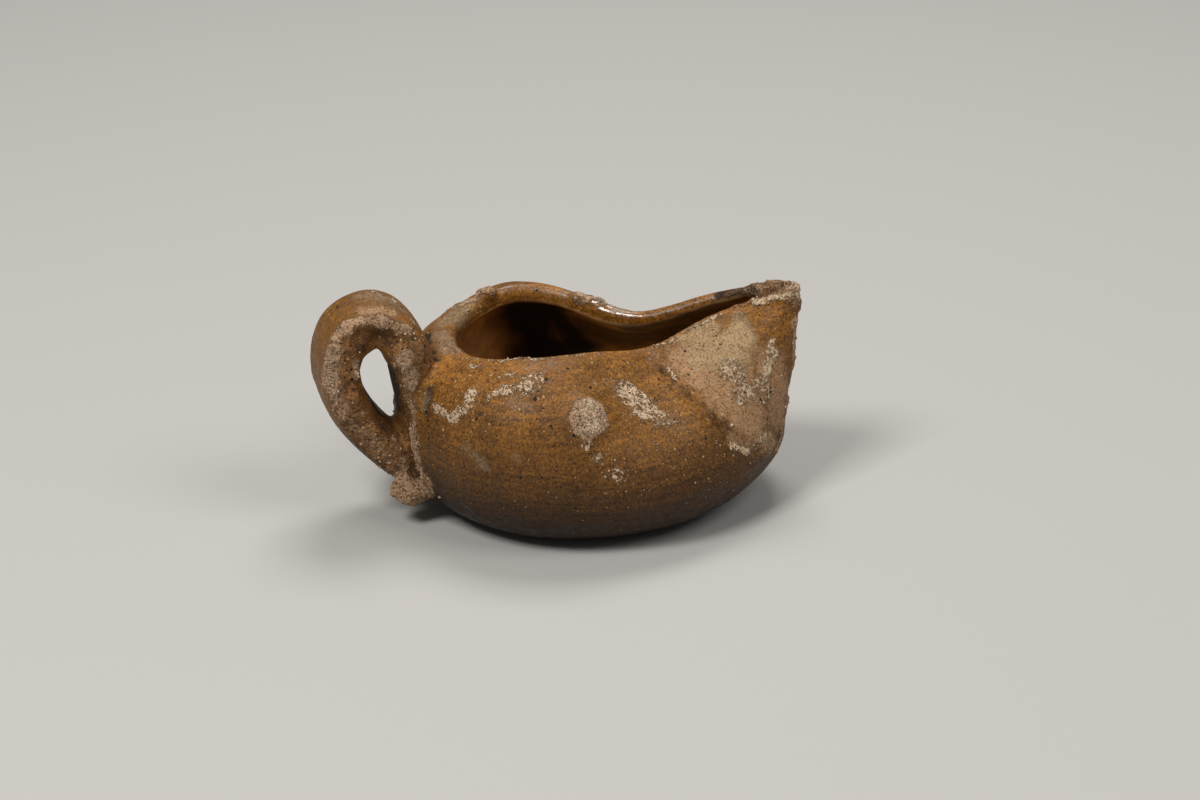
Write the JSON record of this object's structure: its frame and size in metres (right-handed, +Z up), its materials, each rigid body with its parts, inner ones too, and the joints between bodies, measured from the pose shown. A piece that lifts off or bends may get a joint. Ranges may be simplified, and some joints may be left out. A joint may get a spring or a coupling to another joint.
{
  "type": "earthenware oil lamp",
  "caption": "open glazed earthenware oil lamp: squat thrown bowl with turned-in rim, front pinched into a beak with a slot, strap handle behind, flat base",
  "frame": {"origin": "middle of the flat base's underside, on the axis that the bowl was thrown on", "axes": "+X along the beak to its tip, handle at -X, +Y across the bowl, +Z up out of the mouth"},
  "size_m": [0.1131, 0.084, 0.0532],
  "materials": {
    "glazed_clay": "amber brown lead glaze over reddish buff clay, worn and lime-crusted, semi-gloss"
  },
  "bodies": {
    "root": {"lamp": "glazed_clay"}
  },
  "joints": []
}
